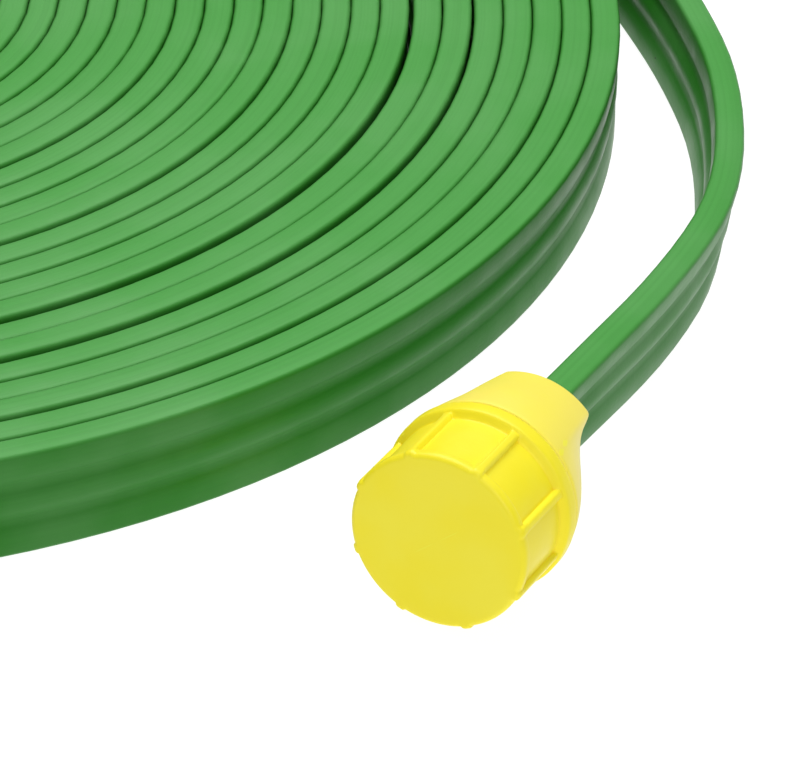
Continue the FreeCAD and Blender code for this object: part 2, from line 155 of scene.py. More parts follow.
class FittingSizes(bpy.types.PropertyGroup):
    """Sizes and colours of the moulded end fittings."""

    wall_radius: FloatProperty(
        name="Wall radius", description="Radius of the grip between its ribs", default=15.3 * MM,
        unit="LENGTH")
    lip_radius: FloatProperty(
        name="Lip radius", description="Radius of the grip's front lip", default=15.9 * MM,
        unit="LENGTH")
    rib_radius: FloatProperty(
        name="Rib radius", description="Radius over the ribs", default=16.35 * MM, unit="LENGTH")
    rib_count: IntProperty(name="Ribs", description="Ribs round the grip", default=8, min=1)
    rib_width: FloatProperty(
        name="Rib width", description="Width of a rib", default=1.9 * MM, unit="LENGTH")
    rib_phase: FloatProperty(
        name="Rib phase", description="Angle in degrees of the first rib", default=34.5)
    flange_radius: FloatProperty(
        name="Flange radius", description="Radius of the grip's flange", default=16.8 * MM,
        unit="LENGTH")
    flange_width: FloatProperty(
        name="Flange width", description="Length of the flange along the grip", default=3.0 * MM,
        unit="LENGTH")
    bore_radius: FloatProperty(
        name="Bore radius", description="Root radius of the inner thread", default=13.65 * MM,
        unit="LENGTH")
    thread_pitch: FloatProperty(
        name="Thread pitch", description="Hose thread's pitch, 11.5 turns to the inch",
        default=25.4 / 11.5 * MM, unit="LENGTH")
    thread_height: FloatProperty(
        name="Thread height", description="Height of the thread's ridge", default=1.2 * MM,
        unit="LENGTH")
    cap_length: FloatProperty(
        name="Cap length", description="Length of the end cap", default=18.6 * MM, unit="LENGTH")
    nut_length: FloatProperty(
        name="Nut length", description="Length of the swivel nut", default=20.0 * MM, unit="LENGTH")
    collar_length: FloatProperty(
        name="Collar length", description="From the grip to the collar's mouth", default=18.0 * MM,
        unit="LENGTH")
    yellow: FloatVectorProperty(
        name="Yellow", description="Colour of the cap and the nut", subtype="COLOR",
        default=(0.95, 0.82, 0.018))
    pale_yellow: FloatVectorProperty(
        name="Pale yellow", description="Colour of the collars", subtype="COLOR",
        default=(0.95, 0.82, 0.12))
    # Painted shade in the fittings' recesses, and also the tint of the connectors' random flow patches.
    shade_and_patch_yellow: FloatVectorProperty(
        name="Shade and patch yellow", description="Colour in the fittings' recesses", subtype="COLOR",
        default=(0.94, 0.67, 0.002))


class StageSettings(bpy.types.PropertyGroup):
    """Where the camera stands from the coil's middle, how it looks, and the studio's light."""

    eye: FloatVectorProperty(
        name="Camera", description="Camera's place from the coil's middle", subtype="XYZ",
        default=(0.6696, -0.5364, 0.4811), unit="LENGTH")
    heading: FloatProperty(
        name="Heading", description="Plan angle of the view in degrees", default=132.4)
    dip: FloatProperty(name="Dip", description="Degrees that the view looks down", default=32.82)
    roll: FloatProperty(name="Roll", description="Degrees that the camera leans", default=2.02)
    lens: FloatProperty(name="Lens", description="Focal length in millimetres", default=225.0)
    floor_colour: FloatVectorProperty(
        name="Floor", description="Colour of the floor", subtype="COLOR", default=(0.2, 0.2, 0.2))
    top_power: FloatProperty(
        name="Top light", description="Watts of the overhead light", default=27.0)
    front_power: FloatProperty(
        name="Front light", description="Watts of the front light", default=8.0)
    haze: FloatProperty(name="Haze", description="Light that comes from all round", default=0.12)


def polar(radius, angle):
    """Plan points at that radius and angle in degrees from the coil's middle."""
    turned = np.radians(angle)
    return np.stack([radius * np.cos(turned), radius * np.sin(turned), 0 * turned], axis=-1)


def smooth_step(value):
    """0 below 0, 1 above 1, and a cubic rise between them."""
    held = np.clip(value, 0, 1)
    return held * held * (3 - 2 * held)


def soft_least(first, second, softness):
    """The lesser of two lengths, rounded where they cross: minus the log of a sum of powers."""
    return -softness * np.log(np.exp(-first / softness) + np.exp(-second / softness))


def unit(vectors):
    """The vectors at length 1."""
    return vectors / np.linalg.norm(vectors, axis=-1, keepdims=True)


def cross_frame(tangents, lean):
    """Outward and upward directions of the section, leaning outward by lean degrees."""
    along = unit(tangents)
    level = unit(UP - along * along[..., 2:])
    outward = np.cross(level, along)
    cos, sin = np.cos(np.radians(lean))[..., None], np.sin(np.radians(lean))[..., None]
    return outward * cos - level * sin, level * cos + outward * sin


def coil_middle(hose):
    """The coil's middle on the floor, found from the capped end's place."""
    cap = np.array(joints["end_cap_turn"]["pos_m"]) * (1, 1, 0)
    return cap - polar(np.float64(hose.end_radius + END_STANDOFF), END_PLACE_ANGLE)


def fitting_frame(joint, lean):
    """Origin and 3 by 3 axes (outward, upward, along) of the fitting on that joint."""
    origin = np.array(joints[joint]["pos_m"])
    along = np.array(joints[joint]["axis"])
    outward, upward = cross_frame(along, np.float64(lean))
    return origin, np.stack([outward, upward, along])


def grid_mesh(name, grid, wraps=False, caps=False):
    """A smooth mesh through a grid of points, rows by columns, whose columns join round.

    wraps also joins the last row to the first. caps close the two end rows with one face
    each, which suits a tube.
    """
    rows, columns = grid.shape[:2]
    row = np.arange(rows if wraps else rows - 1)[:, None]
    column = np.arange(columns)[None, :]
    next_row, next_column = (row + 1) % rows, (column + 1) % columns
    corners = [row * columns + column, row * columns + next_column,
               next_row * columns + next_column, next_row * columns + column]
    faces = np.stack(np.broadcast_arrays(*corners), axis=-1).reshape(-1, 4).tolist()
    if caps:
        faces.append(list(range(columns))[::-1])
        faces.append([(rows - 1) * columns + k for k in range(columns)])
    mesh = bpy.data.meshes.new(name)
    mesh.from_pydata(grid.reshape(-1, 3).tolist(), [], faces)
    mesh.polygons.foreach_set("use_smooth", np.ones(len(mesh.polygons), bool))
    mesh.update()
    piece = bpy.data.objects.new(name, mesh)
    bpy.context.scene.collection.objects.link(piece)
    return piece


# Hose

def hose_outline(hose):
    """Half-thickness and height round the band's section, a loop from the bottom's middle.

    Each wide face is flat but for two soft grooves of bell shape between its three lobes, a
    sixth of the width from its middle. Each narrow edge is a flat with two round corners.
    """
    half_height, half_thick, corner = hose.width / 2, hose.thickness / 2, hose.edge_radius
    groove = hose.width / 6
    reach, count = 1.5, 5
    valley = groove + hose.groove_spread * np.linspace(-reach, reach, count)
    flat_end = half_height - corner
    height = np.concatenate([[-flat_end], -valley[::-1], [0.0], valley, [flat_end]])
    bells = np.exp(-((np.abs(height) - groove) / hose.groove_spread) ** 2)
    side = np.stack([half_thick - hose.groove_depth * bells, height], axis=1)
    corner_angles = [30, 60, 90]
    turn = np.radians(corner_angles)
    top = np.stack([half_thick - corner + corner * np.cos(turn),
                    half_height - corner + corner * np.sin(turn)], axis=1)
    middle = np.array([[0.0, half_height]])
    right = np.concatenate([top[::-1] * (1, -1), side, top])
    return np.concatenate([-middle, right, middle, right[::-1] * (-1, 1)])


def wound_radius(hose, turns_in):
    """Radius of the winding that many turns in from its outer end, with its loose places.

    It falls by the same close pitch each turn, and each loose gap opens over half a turn.
    """
    early, opening = 0.35, 0.5
    slack = sum(gap for turn, gap in LOOSE_GAPS)
    close_pitch = hose.turn_pitch - slack / hose.turn_count
    radius = hose.end_radius - close_pitch * turns_in
    for turn, gap in LOOSE_GAPS:
        radius = radius - gap * smooth_step((turns_in - turn + early) / opening)
    return radius


def wound_lift(turns_in):
    """How far the winding stands off the floor: a smooth bump at each proud turn.

    In turns, a bump's middle comes early, before its count, and it fades out at both ends.
    """
    early, half_length, fade = 0.6, 0.75, 0.4
    lift = 0 * turns_in
    for turn, height in PROUD_TURNS:
        off_middle = np.abs(turns_in - turn + early)
        lift = lift + height * smooth_step((half_length - off_middle) / fade)
    return lift


def coil_points(hose):
    """The winding's control points from its inner end outwards, clockwise seen from above.

    Beside a control point, a quadratic curve is three quarters of it and a quarter of the mean
    of its neighbours. That lies inside the point, so the points stand out by as much.
    """
    per_turn, own_share = 36, 0.75
    step = 360 / per_turn
    steps_in = np.arange(hose.turn_count * per_turn, -1, -1)
    turns_in = steps_in / per_turn
    stand_out = 1 / (own_share + (1 - own_share) * np.cos(np.radians(step)))
    points = polar(wound_radius(hose, turns_in) * stand_out, hose.end_angle + steps_in * step)
    points[:, 2] = hose.width / 2 + wound_lift(turns_in)
    return points


def lead_points(hose, fittings):
    """The inner end's control points, from the tap fitting back round to the coil's inner end.

    A straight run and an arc, which rises with the square of the way round it, so that the
    fitting's flange clears the floor.
    """
    bend_radius, bend = hose.lead_radius, hose.lead_turn
    arc_points, floor_gap = 8, 0.03 * MM
    step = bend / arc_points
    rise = fittings.flange_radius + floor_gap - hose.width / 2
    bend_length = np.radians(bend) * bend_radius
    slope = rise / (bend_length / 2 + hose.lead_straight + fittings.collar_length)
    inner_radius = wound_radius(hose, np.float64(hose.turn_count))
    middle = polar(inner_radius - bend_radius, hose.end_angle)
    turned = np.arange(step / 2, bend, step)
    points = middle + polar(bend_radius / np.cos(np.radians(step / 2)), hose.end_angle + turned)
    share = turned / bend
    points[:, 2] = hose.width / 2 + slope * bend_length * share**2 / 2
    corner = middle + polar(np.float64(bend_radius), hose.end_angle + bend)
    heading = polar(np.float64(1.0), hose.end_angle + bend + 90) + UP * slope
    corner[2] = hose.width / 2 + slope * bend_length / 2
    end = corner + heading * (hose.lead_straight + hose.grip_length)
    return np.concatenate([[end, corner + heading * hose.lead_straight / 2], points[::-1]])


def tail_points(hose, fittings):
    """The outer end's control points and leans, from the coil to its grip in the collar."""
    origin, axes = fitting_frame("end_cap_turn", END_LEAN)
    origin = origin - coil_middle(hose)
    end_run = 24 * MM
    table = np.array(TAIL_POINTS)
    points = polar(hose.end_radius + table[:, 1], table[:, 0])
    points[:, 2] = hose.width / 2 + table[:, 2]
    end = origin + axes[2] * (hose.grip_length - fittings.collar_length)
    leans = np.concatenate([table[:, 3], [END_LEAN, END_LEAN]])
    return np.concatenate([points, [end - axes[2] * end_run, end]]), leans


def smooth_line(points):
    """Points along the quadratic NURBS curve on those control points."""
    curve = bpy.data.curves.new("route", "CURVE")
    curve.dimensions = "3D"
    curve.resolution_u = 12
    spline = curve.splines.new("NURBS")
    spline.points.add(len(points) - 1)
    spline.points.foreach_set("co", np.column_stack([points, np.ones(len(points))]).ravel())
    spline.order_u = 3
    spline.use_endpoint_u = True
    carrier = bpy.data.objects.new("route", curve)
    mesh = bpy.data.meshes.new_from_object(carrier)
    line = np.zeros(len(mesh.vertices) * 3)
    mesh.vertices.foreach_get("co", line)
    bpy.data.objects.remove(carrier)
    bpy.data.curves.remove(curve)
    bpy.data.meshes.remove(mesh)
    return line.reshape(-1, 3)


def even_stations(line, spacing):
    """Stations at even steps along the line, and how far along it each one is."""
    steps = np.linalg.norm(np.diff(line, axis=0), axis=1)
    along = np.concatenate([[0], np.cumsum(steps)])
    count = int(round(along[-1] / spacing)) + 1
    places = np.linspace(0, along[-1], count)
    return np.stack([np.interp(places, along, line[:, k]) for k in range(3)], axis=1), places


def station_leans(stations, points, leans):
    """The lean at each station of the free end, read between its nearest route points."""
    along = np.concatenate([[0], np.cumsum(np.linalg.norm(np.diff(points, axis=0), axis=1))])
    offset = np.linalg.norm(np.diff(stations, axis=0), axis=1)
    from_end = np.concatenate([np.cumsum(offset[::-1])[::-1], [0]])
    return np.interp(along[-1] - from_end, along, leans, left=0.0)


def add_along_uv(piece, places, outline):
    """A UV map that holds metres along the hose and the share of the way round its section.

    The last column of faces runs on to a share of 1, where the first column starts again at 0.
    """
    steps = np.linalg.norm(np.diff(outline, axis=0, append=outline[:1]), axis=1)
    around = np.concatenate([[0], np.cumsum(steps)]) / steps.sum()
    row = np.arange(len(places) - 1)[:, None, None] + np.array([0, 0, 1, 1])
    column = np.arange(len(outline))[None, :, None] + np.array([0, 1, 1, 0])
    side = np.stack(np.broadcast_arrays(places[row], around[column]), axis=-1).reshape(-1, 2)
    end_share = around[:-1]
    first = np.stack([0 * end_share + places[0], end_share[::-1]], axis=1)
    last = np.stack([0 * end_share + places[-1], end_share], axis=1)
    layer = piece.data.uv_layers.new(name="Along")
    layer.data.foreach_set("uv", np.concatenate([side, first, last]).ravel())


class HOSE_OT_wind(bpy.types.Operator):
    """Winds the flat hose from the tap fitting out to the capped end"""

    bl_idname = "soaker.wind_hose"
    bl_label = "Wind Hose"

    def execute(self, context):
        hose, fittings = context.scene.soaker_hose, context.scene.soaker_fittings
        tail, leans = tail_points(hose, fittings)
        points = np.concatenate([lead_points(hose, fittings), coil_points(hose), tail])
        stations, places = even_stations(smooth_line(points), SECTION_SPACING)
        lean = station_leans(stations, tail, leans)
        outward, upward = cross_frame(np.gradient(stations, axis=0), lean)
        outline = hose_outline(hose)
        grid = (stations[:, None] + outward[:, None] * outline[None, :, :1]
                + upward[:, None] * outline[None, :, 1:]) + coil_middle(hose)
        piece = grid_mesh("hose", grid, caps=True)
        add_along_uv(piece, places, outline)
        piece.data.materials.append(hose_material(hose))
        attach(piece, "root")
        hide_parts("hose_coil", "hose_tail", "hose_lead")
        print(f"hose line {places[-1]:.3f} m, {len(stations)} stations")
        return {"FINISHED"}


# Fittings. A sheet is a pair of arrays, radius and height, rows by columns of angles

def sheet_angles():
    """The columns' angles, once round."""
    return np.linspace(0, 360, SHEET_COLUMNS, endpoint=False)[None, :]


def quarter(start, end, count):
    """Cosines and sines from one angle to another, as columns."""
    turn = np.radians(np.linspace(start, end, count))[:, None]
    return np.cos(turn), np.sin(turn)


def rib_share(fittings, angle):
    """1 on a rib's top, 0 between the ribs, and a smooth rise up each flank."""
    spacing = 360 / fittings.rib_count
    off_rib = (angle - fittings.rib_phase + spacing / 2) % spacing - spacing / 2
    sideways = np.abs(np.radians(off_rib)) * fittings.rib_radius
    flat_share, flank_share = 0.3, 0.28
    flat, flank = fittings.rib_width * flat_share, fittings.rib_width * flank_share
    return 1 - smooth_step((sideways - flat) / flank)


def sunk_wall(fittings, height, length):
    """Radius between the ribs: a sunk wall with a soft step to the lip and one to the flange."""
    lip_length, lip_step, fillet = 2.5 * MM, 0.8 * MM, 1.3 * MM
    lip = smooth_step((height - (length - lip_length)) / lip_step)
    flange = 1 - smooth_step((height - fittings.flange_width) / fillet)
    return (fittings.wall_radius + lip * (fittings.lip_radius - fittings.wall_radius)
            + flange * (fittings.flange_radius - fittings.wall_radius))


def grip_outside(fittings, angle, length):
    """The grip's outside, from its front face back: a round lip, ribs on a sunk wall, a flange."""
    rim, edge = 1.0 * MM, 0.8 * MM
    rim_rows, lip_rows, wall_rows, fillet_rows, edge_rows = 7, 10, 7, 9, 6
    step_end, fillet_start = length - 2.7 * MM, fittings.flange_width + 1.4 * MM
    flange_heights = [2.2 * MM, 1.5 * MM]
    rib = rib_share(fittings, angle)
    lip_end = fittings.lip_radius + rib * (fittings.rib_radius - fittings.lip_radius)
    cos, sin = quarter(90, 0, rim_rows)
    front = lip_end - rim + rim * cos, length - rim + rim * sin + 0 * angle
    height = np.concatenate([np.linspace(length - rim, step_end, lip_rows)[1:],
                             np.linspace(step_end, fillet_start, wall_rows)[1:],
                             np.linspace(fillet_start, fittings.flange_width, fillet_rows)[1:],
                             flange_heights])[:, None]
    wall = sunk_wall(fittings, height, length)
    side = wall + rib * np.maximum(fittings.rib_radius - wall, 0), height + 0 * angle
    cos, sin = quarter(0, 90, edge_rows)
    back = fittings.flange_radius - edge + edge * cos + 0 * angle, edge - edge * sin + 0 * angle
    return join_sheets(front, side, back)


def threaded_wall(fittings, angle, low, high, ridge_low, ridge_high, rows):
    """A bore with a helical ridge inside it, from height low to high.

    The ridge's middle climbs one pitch a turn from ridge_low, its section is a flat with two
    smooth flanks, and it fades in and out over a short height at both ends.
    """
    crest, flank, fade = 0.18 * MM, 0.45 * MM, 0.6 * MM
    height = np.linspace(low, high, rows)[:, None]
    turns = (height - ridge_low) / fittings.thread_pitch - angle / 360
    across = np.abs(turns - np.round(turns)) * fittings.thread_pitch
    ridge = 1 - smooth_step((across - crest) / flank)
    rise = ridge * smooth_step((height - ridge_low) / fade) * smooth_step((ridge_high - height) / fade)
    return fittings.bore_radius - fittings.thread_height * rise, height + 0 * angle


def rings(radii, heights, angle):
    """Plain rings at those radii and heights."""
    return np.array(radii)[:, None] + 0 * angle, np.array(heights)[:, None] + 0 * angle


def join_sheets(*sheets):
    """Sheets one after another as one, rows on rows."""
    radii, heights = zip(*sheets)
    return np.concatenate(radii), np.concatenate(heights)


def cap_sheet(fittings, angle):
    """The end cap from the middle of its face, over its outside and up its threaded bore."""
    length, face_wall, back_dish = fittings.cap_length, 2.4 * MM, 0.02 * MM
    ridge_low, ridge_high = 2.53 * MM, 12.0 * MM
    face_rows, bore_rows, floor_rows, floor_start = 9, 90, 4, 0.9
    floor = length - face_wall
    outside = grip_outside(fittings, angle, length)
    share = np.linspace(0, 1, face_rows)[:-1, None]
    face = share * outside[0][:1], length + 0 * share * angle
    bore = threaded_wall(fittings, angle, 0.0, floor, ridge_low, ridge_high, bore_rows)
    bore[1][0] += back_dish
    floor_radii = np.linspace(floor_start, 0, floor_rows) * fittings.bore_radius
    inner = rings(floor_radii, [floor] * floor_rows, angle)
    return join_sheets(face, outside, bore, inner)


def nut_sheet(fittings, angle):
    """The swivel nut, once round its wall: outside, back, neck hole, seat, thread and mouth."""
    length, thread_rows = fittings.nut_length, 50
    neck, seat, mouth = 9.9 * MM, 12.6 * MM, 13.95 * MM
    seat_low, thread_low, mouth_low = 4.5 * MM, 9.8 * MM, length - 1.5 * MM
    ridge_low = thread_low + 2.12 * MM
    bevel, nick = 0.3 * MM, 0.1 * MM
    outside = grip_outside(fittings, angle, length)
    inside = rings([neck + bevel, neck, neck, neck + nick, seat - nick, seat, seat, seat + nick],
                   [0.0, bevel, seat_low - nick, seat_low, seat_low, seat_low + nick,
                    thread_low - nick, thread_low], angle)
    thread = threaded_wall(fittings, angle, thread_low, mouth_low, ridge_low, mouth_low, thread_rows)
    front = rings([mouth, mouth, mouth + bevel], [mouth_low, length - bevel, length], angle)
    return join_sheets(outside, inside, thread, front)


def mouth_radius(angle):
    """Radius round the collar's pinched mouth: a round cap at each end and two bowed flanks.

    A flank lies near + bow * y squared from the middle plane. Solved for the radius at an angle
    a, that is 2 near / (cos a + root(cos a squared - 4 near bow sin a squared)).
    """
    cap, near, corner_across, corner_up = 13.8 * MM, 7.2 * MM, 8.2 * MM, 11.1 * MM
    softness, least_divisor = 0.5 * MM, 0.05
    bow = (corner_across - near) / corner_up**2
    cos, sin = np.abs(np.cos(np.radians(angle))), np.abs(np.sin(np.radians(angle)))
    root = np.sqrt(np.maximum(cos**2 - 4 * near * bow * sin**2, 0))
    flank = 2 * near / np.maximum(cos + root, least_divisor)
    return soft_least(cap, flank, softness)


def slot_radius(hose, angle):
    """Radius round the collar's slot, a rectangle a little larger than the hose's section."""
    clearance, softness, least_divisor = 0.3 * MM, 0.15 * MM, 0.01
    cos = np.maximum(np.abs(np.cos(np.radians(angle))), least_divisor)
    sin = np.maximum(np.abs(np.sin(np.radians(angle))), least_divisor)
    across, up = hose.thickness / 2 + clearance, hose.width / 2 + clearance
    return soft_least(across / cos, up / sin, softness)


def collar_sheet(hose, fittings, angle):
    """A squeezed collar, once round its wall: front, outside, mouth, slot and pocket.

    The outside blends from a circle to the mouth's outline by a power of the way along.
    """
    front_radius, pocket, pocket_depth = 16.4 * MM, 13.0 * MM, 6.0 * MM
    edge, lip, inner_edge = 0.5 * MM, 0.9 * MM, 0.3 * MM
    edge_rows, side_rows, lip_rows = 5, 26, 6
    squeeze_power = 1.45
    front, mouth = -RUNNING_GAP, -fittings.collar_length
    outline, slot = mouth_radius(angle), slot_radius(hose, angle)
    start = rings([pocket, front_radius - edge], [front, front], angle)
    cos, sin = quarter(90, 0, edge_rows)
    corner = front_radius - edge + edge * cos + 0 * angle, front - edge + edge * sin + 0 * angle
    height = np.linspace(front - edge, mouth + lip, side_rows)[1:, None]
    blend = ((front - height) / (front - mouth)) ** squeeze_power
    side = front_radius * (1 - blend) + outline * blend, height + 0 * angle
    cos, sin = quarter(0, 90, lip_rows)
    end_radius = side[0][-1:]
    rounding = end_radius - lip + lip * cos[1:], mouth + lip - lip * sin[1:] + 0 * angle
    inward = np.array([0.5, 0.0])[:, None]
    shelf_width = end_radius - lip - slot - inner_edge
    shelf = slot + inner_edge + shelf_width * inward, mouth + 0 * inward * angle
    floor = front - pocket_depth
    depth = np.array([mouth + inner_edge, (mouth + floor) / 2, floor])[:, None]
    channel = slot + 0 * depth, depth + 0 * angle
    base = rings([pocket], [floor], angle)
    return join_sheets(start, corner, side, rounding, shelf, channel, base)


def place_grid(sheet, angle, origin, axes):
    """The sheet's points in place, from cylinder coordinates about a fitting's axis."""
    radius, height = sheet
    turned = np.radians(angle)
    local = np.stack([radius * np.cos(turned), radius * np.sin(turned), height], axis=-1)
    return origin + local @ axes


def close_sheet(piece):
    """Merges each pole to one point, turns the faces outwards and keeps crisp corners sharp."""
    merge_distance, crisp_angle = 0.002 * MM, 38
    work = bmesh.new()
    work.from_mesh(piece.data)
    bmesh.ops.remove_doubles(work, verts=work.verts, dist=merge_distance)
    bmesh.ops.recalc_face_normals(work, faces=work.faces)
    work.to_mesh(piece.data)
    work.free()
    piece.data.set_sharp_from_angle(angle=np.radians(crisp_angle))


def mould(name, sheet, place, wraps, material, body, node):
    """One moulded piece from its sheet and place, riding on body and standing for node."""
    piece = grid_mesh(name, place_grid(sheet, sheet_angles(), *place), wraps=wraps)
    close_sheet(piece)
    piece.data.materials.append(material)
    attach(piece, body)
    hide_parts(node)


class HOSE_OT_mould_cap(bpy.types.Operator):
    """Moulds the ribbed end cap with its inner thread"""

    bl_idname = "soaker.mould_cap"
    bl_label = "Mould End Cap"

    def execute(self, context):
        fittings = context.scene.soaker_fittings
        material = fitting_material(fittings, "fitting_yellow", fittings.yellow)
        place = fitting_frame("end_cap_turn", END_LEAN)
        mould("cap_moulding", cap_sheet(fittings, sheet_angles()), place, False, material,
              "end_cap", "end_cap")
        return {"FINISHED"}


class HOSE_OT_mould_nut(bpy.types.Operator):
    """Moulds the swivel nut with the thread for a tap"""

    bl_idname = "soaker.mould_nut"
    bl_label = "Mould Swivel Nut"

    def execute(self, context):
        fittings = context.scene.soaker_fittings
        material = fitting_material(fittings, "fitting_yellow", fittings.yellow)
        place = fitting_frame("inlet_nut_swivel", INLET_LEAN)
        mould("nut_moulding", nut_sheet(fittings, sheet_angles()), place, True, material,
              "inlet_nut", "inlet_nut")
        return {"FINISHED"}


class HOSE_OT_mould_collars(bpy.types.Operator):
    """Moulds the squeezed collar of each end"""

    bl_idname = "soaker.mould_collars"
    bl_label = "Mould Collars"

    def execute(self, context):
        hose, fittings = context.scene.soaker_hose, context.scene.soaker_fittings
        material = fitting_material(fittings, "collar_yellow", fittings.pale_yellow)
        sheet = collar_sheet(hose, fittings, sheet_angles())
        for node, joint, lean in (("end_collar", "end_cap_turn", END_LEAN),
                                  ("inlet_collar", "inlet_nut_swivel", INLET_LEAN)):
            mould(f"{node}_moulding", sheet, fitting_frame(joint, lean), True, material, "root", node)
        return {"FINISHED"}


class HOSE_OT_finish_inner_parts(bpy.types.Operator):
    """Gives the connectors, the seals and the filter their finishes"""

    bl_idname = "soaker.finish_inner_parts"
    bl_label = "Finish Inner Parts"

    def execute(self, context):
        finishes = (
            (connector_material(context.scene.soaker_fittings), ("end_connector", "inlet_connector")),
            (seal_material(), ("end_seal", "inlet_seal")),
            (filter_material(), ("inlet_filter",)),
        )
        for material, nodes in finishes:
            for node in nodes:
                for place in frame["nodes"][node].material_slots:
                    place.material = material
        return {"FINISHED"}


# Shader helpers and shared effects

# Places of the two colours and of the result among a Mix node's sockets
MIX_FIRST, MIX_SECOND, MIX_RESULT = 6, 7, 2

# Octaves of a coarse noise and of a fine one
COARSE_DETAIL, FINE_DETAIL = 2.0, 3.0


def add_node(tree, kind, inputs=None, **settings):
    """A node of that kind with its settings, and its inputs set to values or linked to sockets."""
    node = tree.nodes.new(kind)
    for name, value in settings.items():
        setattr(node, name, value)
    for key, value in (inputs or {}).items():
        if isinstance(value, bpy.types.NodeSocket):
            tree.links.new(value, node.inputs[key])
        else:
            node.inputs[key].default_value = value
    return node


def calculate(tree, operation, first, second=0.0):
    """The result of one Math node."""
    return add_node(tree, "ShaderNodeMath", {0: first, 1: second}, operation=operation).outputs[0]


def ramp(tree, value, low, high):
    """0 at low and 1 at high, smooth between them and held outside."""
    node = add_node(tree, "ShaderNodeMapRange", {"Value": value, "From Min": low, "From Max": high},
                    interpolation_type="SMOOTHSTEP")
    return node.outputs["Result"]


def mix_colours(tree, factor, first, second):
    """The first colour where the factor is 0 and the second where it is 1."""
    node = add_node(tree, "ShaderNodeMix", {0: factor, MIX_FIRST: first, MIX_SECOND: second},
                    data_type="RGBA")
    return node.outputs[MIX_RESULT]


def noise(tree, place, scale, detail=COARSE_DETAIL):
    """A noise value round one half at each place."""
    node = add_node(tree, "ShaderNodeTexNoise", {"Vector": place, "Scale": scale, "Detail": detail})
    return node.outputs["Fac"]


def opaque(colour):
    """The colour with an alpha of 1."""
    return (*colour, 1.0)


def new_group(name, inputs, outputs):
    """An empty shader node group with those sockets, and its input and output nodes."""
    tree = bpy.data.node_groups.new(name, "ShaderNodeTree")
    for label, kind in inputs.items():
        tree.interface.new_socket(label, in_out="INPUT", socket_type=f"NodeSocket{kind}")
    for label, kind in outputs.items():
        tree.interface.new_socket(label, in_out="OUTPUT", socket_type=f"NodeSocket{kind}")
    return tree, tree.nodes.new("NodeGroupInput").outputs, tree.nodes.new("NodeGroupOutput").inputs


def use_group(tree, name, inputs):
    """A node that holds the shared group of that name, with its inputs set or linked."""
    return add_node(tree, "ShaderNodeGroup", inputs, node_tree=bpy.data.node_groups[name]).outputs


def build_soft_patches():
    """Soft Patches: a colour that drifts towards a tint in soft patches of a size."""
    clear, full = 0.38, 0.66
    tree, given, result = new_group(
        "Soft Patches", {"Place": "Vector", "Scale": "Float", "Colour": "Color", "Tint": "Color",
                         "Amount": "Float"}, {"Colour": "Color"})
    patch = ramp(tree, noise(tree, given["Place"], given["Scale"], FINE_DETAIL), clear, full)
    share = calculate(tree, "MULTIPLY", patch, given["Amount"])
    tree.links.new(mix_colours(tree, share, given["Colour"], given["Tint"]), result["Colour"])


def build_moulded_skin():
    """Moulded Skin: patchy roughness between two values, and the height of a fine grain."""
    patch_scale, shiny_below, dull_above = 90.0, 0.35, 0.65
    tree, given, result = new_group(
        "Moulded Skin", {"Place": "Vector", "Grain": "Float", "Shiny": "Float", "Dull": "Float"},
        {"Roughness": "Float", "Height": "Float"})
    coarse = ramp(tree, noise(tree, given["Place"], patch_scale), shiny_below, dull_above)
    roughness = add_node(tree, "ShaderNodeMapRange",
                         {"Value": coarse, "To Min": given["Shiny"], "To Max": given["Dull"]})
    tree.links.new(roughness.outputs["Result"], result["Roughness"])
    tree.links.new(noise(tree, given["Place"], given["Grain"], FINE_DETAIL), result["Height"])


def build_painted_shade_and_highlight():
    """Painted Shade And Highlight: a painted shade colour in the hollows of a surface and a painted
    highlight colour along its outer corners.

    The pointiness is one half on a flat, less in a hollow and more on a corner.
    """
    hollow_full, hollow_clear = 0.42, 0.495
    corner_clear, corner_full = 0.515, 0.6
    tree, given, result = new_group(
        "Painted Shade And Highlight", {"Colour": "Color", "Hollow": "Color", "Corner": "Color"}, {"Colour": "Color"})
    bend = add_node(tree, "ShaderNodeNewGeometry").outputs["Pointiness"]
    # Painted shade in the hollows, then a painted highlight along the outer corners.
    hollow = calculate(tree, "SUBTRACT", 1.0, ramp(tree, bend, hollow_full, hollow_clear))
    corner = ramp(tree, bend, corner_clear, corner_full)
    painted_shading = mix_colours(tree, hollow, given["Colour"], given["Hollow"])
    tree.links.new(mix_colours(tree, corner, painted_shading, given["Corner"]), result["Colour"])


def new_material(name):
    """A new material, its node tree and its Principled BSDF."""
    material = bpy.data.materials.new(name)
    material.use_nodes = True
    return material, material.node_tree, material.node_tree.nodes["Principled BSDF"]


def add_bump(tree, shader, height, distance):
    """A bump on the shader's normal from a height between 0 and 1 of that distance."""
    bump = add_node(tree, "ShaderNodeBump", {"Height": height, "Strength": 1.0, "Distance": distance})
    tree.links.new(bump.outputs["Normal"], shader.inputs["Normal"])


def object_place(tree):
    """The place on the object, in metres."""
    return add_node(tree, "ShaderNodeTexCoord").outputs["Object"]


def patchy(tree, place, scale, colour, tint, amount):
    """The colour with soft patches of a tint."""
    return use_group(tree, "Soft Patches", {
        "Place": place, "Scale": scale, "Colour": colour, "Tint": tint, "Amount": amount})["Colour"]


def add_skin(tree, shader, place, grain, shiny, dull):
    """Gives the shader the moulded skin's roughness, and hands back its grain's height."""
    skin = use_group(tree, "Moulded Skin", {
        "Place": place, "Grain": grain, "Shiny": shiny, "Dull": dull})
    tree.links.new(skin["Roughness"], shader.inputs["Roughness"])
    return skin["Height"]


def plain_moulding(name, colour, tint, patch_scale, amount, grain, shiny, dull, bump):
    """A moulded material: a colour with soft patches of a tint, and a fine grain."""
    material, tree, shader = new_material(name)
    place = object_place(tree)
    patches = patchy(tree, place, patch_scale, colour, tint, amount)
    tree.links.new(patches, shader.inputs["Base Color"])
    add_bump(tree, shader, add_skin(tree, shader, place, grain, shiny, dull), bump)
    return material


# Materials

